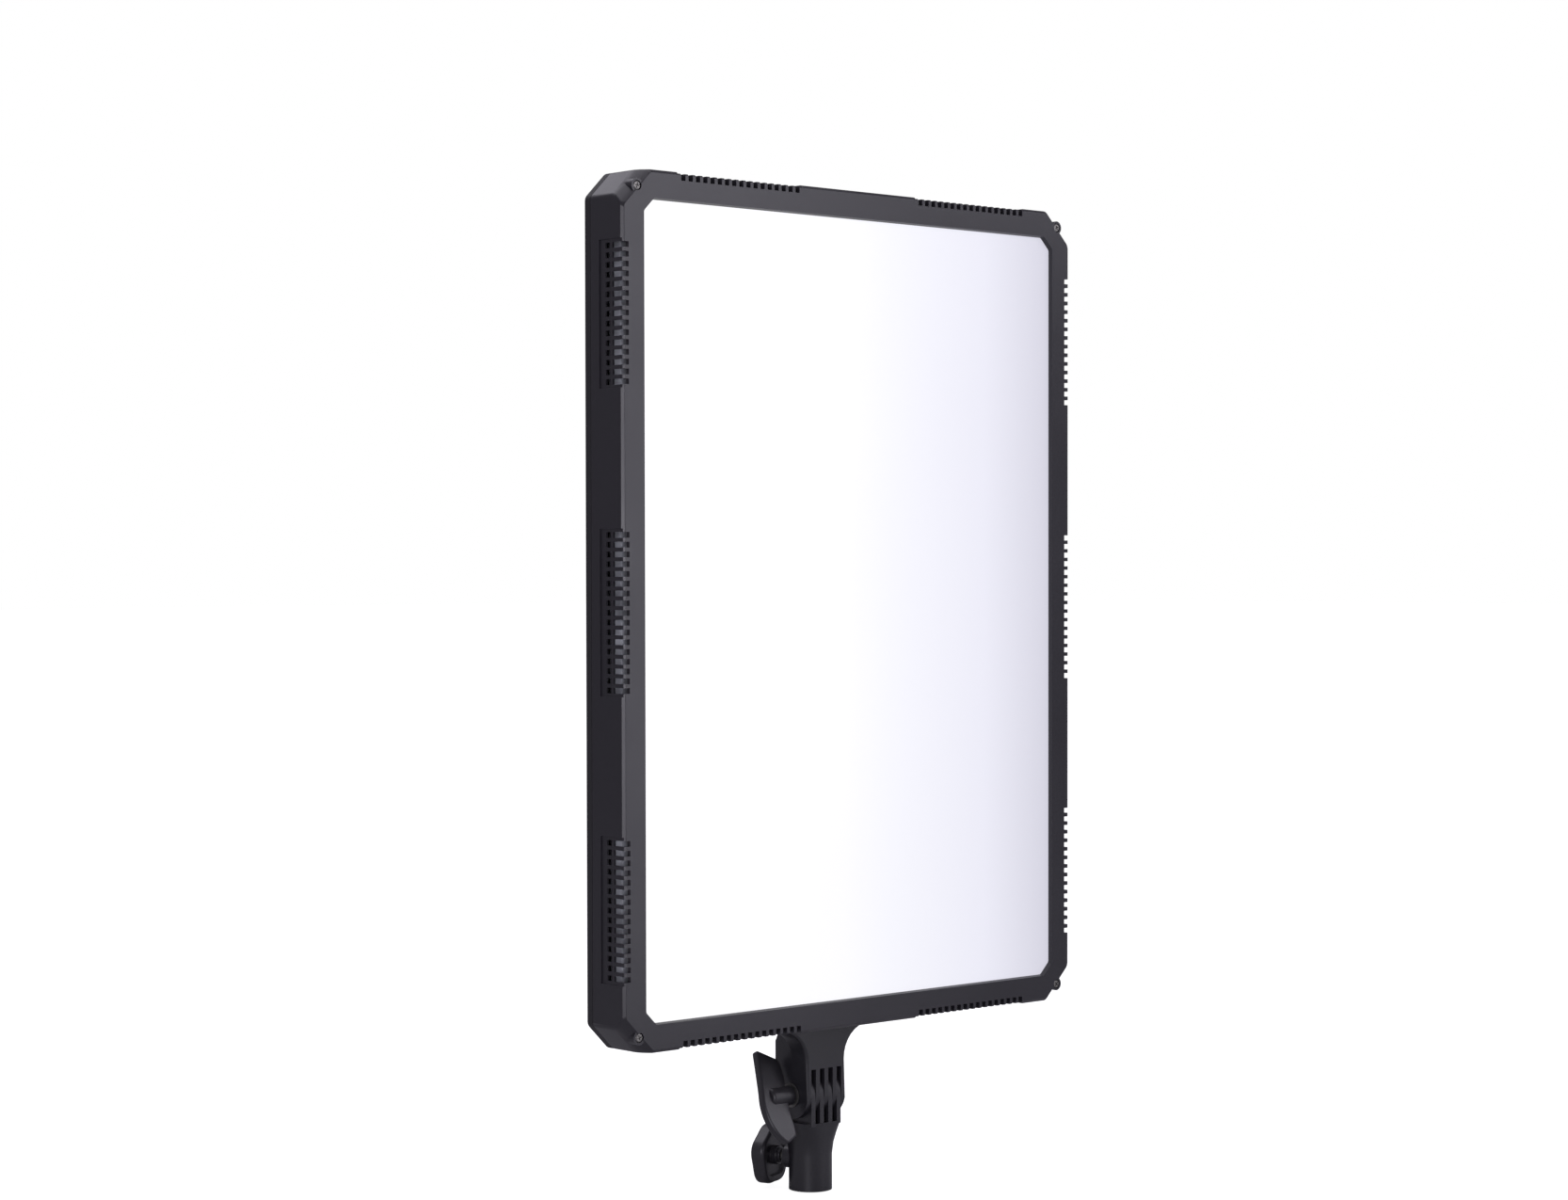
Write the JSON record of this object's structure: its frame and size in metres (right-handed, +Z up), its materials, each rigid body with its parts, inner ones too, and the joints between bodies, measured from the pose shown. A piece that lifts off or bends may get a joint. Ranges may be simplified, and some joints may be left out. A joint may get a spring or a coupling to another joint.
{
  "type": "led panel light",
  "caption": "Slim upright LED panel light with a vented black case, white diffuser, rear controls and a tilting socket head for a light stand.",
  "frame": {"origin": "middle of the stand socket's mouth, on the bore axis", "axes": "+Z up along the socket bore and the panel's long side, X across the panel, -Y out of the lit face"},
  "size_m": [0.4414, 0.0988, 0.728],
  "materials": {
    "shell_plastic": "moulded black ABS with a fine satin grain",
    "pod_plastic": "moulded black ABS, slightly coarser grain",
    "head_plastic": "glass-filled nylon, satin black",
    "knob_plastic": "moulded black nylon",
    "opal_diffuser": "satin opal acrylic, lit from behind",
    "clear_acrylic": "polished clear acrylic",
    "white_film": "white optical film",
    "bare_aluminium": "mill-finish aluminium",
    "zinc_steel": "zinc-plated steel",
    "brass": "turned brass",
    "circuit_board": "green solder mask with parts",
    "display_black": "dark display module",
    "port_metal": "nickel-plated die casting"
  },
  "bodies": {
    "stand": {"stand_receiver": "head_plastic", "lock_insert": "brass"},
    "panel": {"front_shell": "shell_plastic", "rear_cover": "shell_plastic", "corner_screw_top_left": "zinc_steel", "corner_screw_top_right": "zinc_steel", "corner_screw_bottom_left": "zinc_steel", "corner_screw_bottom_right": "zinc_steel", "diffuser": "opal_diffuser", "diffusion_film": "white_film", "light_guide_plate": "clear_acrylic", "reflector_sheet": "white_film", "chassis_tray": "bare_aluminium", "led_strip_left": "circuit_board", "led_strip_right": "circuit_board", "heat_rail_left": "bare_aluminium", "heat_rail_right": "bare_aluminium", "rail_screw_left_upper": "zinc_steel", "rail_screw_left_lower": "zinc_steel", "rail_screw_right_upper": "zinc_steel", "rail_screw_right_lower": "zinc_steel", "control_pod": "pod_plastic", "pod_screw_1": "zinc_steel", "pod_screw_2": "zinc_steel", "pod_screw_3": "zinc_steel", "pod_screw_4": "zinc_steel", "driver_board": "circuit_board", "control_board": "circuit_board", "display_module": "display_black", "display_window": "clear_acrylic", "dimmer_encoder": "zinc_steel", "colour_encoder": "zinc_steel", "mode_switch": "zinc_steel", "channel_switch": "zinc_steel", "rocker_switch_body": "knob_plastic", "dc_inlet": "port_metal", "tilt_yoke": "head_plastic", "yoke_screw_1": "zinc_steel", "yoke_screw_2": "zinc_steel", "yoke_screw_3": "zinc_steel", "yoke_screw_4": "zinc_steel", "yoke_backing_plate": "zinc_steel", "tilt_bolt": "zinc_steel", "bolt_washer": "zinc_steel"},
    "lever_thrust": {"lever_washer": "zinc_steel"},
    "lever": {"tilt_lever": "knob_plastic", "lever_insert": "brass"},
    "lock_thrust": {"pressure_pad": "brass"},
    "lock_knob": {"lock_screw": "zinc_steel", "stand_lock_knob": "knob_plastic"},
    "dimmer_push": {"dimmer_shaft": "zinc_steel"},
    "dimmer_dial": {"dimmer_knob": "knob_plastic"},
    "colour_push": {"colour_shaft": "zinc_steel"},
    "colour_dial": {"colour_knob": "knob_plastic"},
    "mode_key": {"mode_button": "knob_plastic"},
    "channel_key": {"channel_button": "knob_plastic"},
    "power_switch": {"power_rocker": "knob_plastic"}
  },
  "joints": [
    {"name": "tilt", "type": "hinge", "parent": "stand", "child": "panel", "pos_m": [0, 0, 0.071], "axis": [1, 0, 0], "range_deg": [-90, 90]},
    {"name": "lever_travel", "type": "slide", "parent": "panel", "child": "lever_thrust", "axis": [-1, 0, 0], "range_m": [0, 0.00063]},
    {"name": "lever_turn", "type": "hinge", "parent": "lever_thrust", "child": "lever", "pos_m": [0, 0, 0.071], "axis": [-1, 0, 0], "range_deg": [0, 180]},
    {"name": "lock_travel", "type": "slide", "parent": "stand", "child": "lock_thrust", "axis": [0.3584, -0.9336, 0], "range_m": [-0.00126, 0.00251]},
    {"name": "lock_turn", "type": "hinge", "parent": "lock_thrust", "child": "lock_knob", "pos_m": [0, 0, 0.0225], "axis": [0.3584, -0.9336, 0], "range_deg": [-360, 720]},
    {"name": "dimmer_press", "type": "slide", "parent": "panel", "child": "dimmer_push", "axis": [0, -1, 0], "range_m": [0, 0.0006], "stiffness_N_per_m": 3000},
    {"name": "dimmer_turn", "type": "hinge", "parent": "dimmer_push", "child": "dimmer_dial", "pos_m": [-0.06, 0.0241, 0.435], "axis": [0, -1, 0], "continuous": true},
    {"name": "colour_press", "type": "slide", "parent": "panel", "child": "colour_push", "axis": [0, -1, 0], "range_m": [0, 0.0006], "stiffness_N_per_m": 3000},
    {"name": "colour_turn", "type": "hinge", "parent": "colour_push", "child": "colour_dial", "pos_m": [0.06, 0.0241, 0.435], "axis": [0, -1, 0], "continuous": true},
    {"name": "mode_press", "type": "slide", "parent": "panel", "child": "mode_key", "axis": [0, -1, 0], "range_m": [0, 0.0008], "stiffness_N_per_m": 1500},
    {"name": "channel_press", "type": "slide", "parent": "panel", "child": "channel_key", "axis": [0, -1, 0], "range_m": [0, 0.0008], "stiffness_N_per_m": 1500},
    {"name": "power_rock", "type": "hinge", "parent": "panel", "child": "power_switch", "pos_m": [0.052, 0.0166, 0.241], "axis": [0, 0, 1], "range_deg": [0, 12]}
  ],
  "couplings": [
    {"joint": "lever_travel", "follows": "lever_turn", "m_per_rad": 0.00019894},
    {"joint": "lock_travel", "follows": "lock_turn", "m_per_rad": 0.00019894}
  ]
}
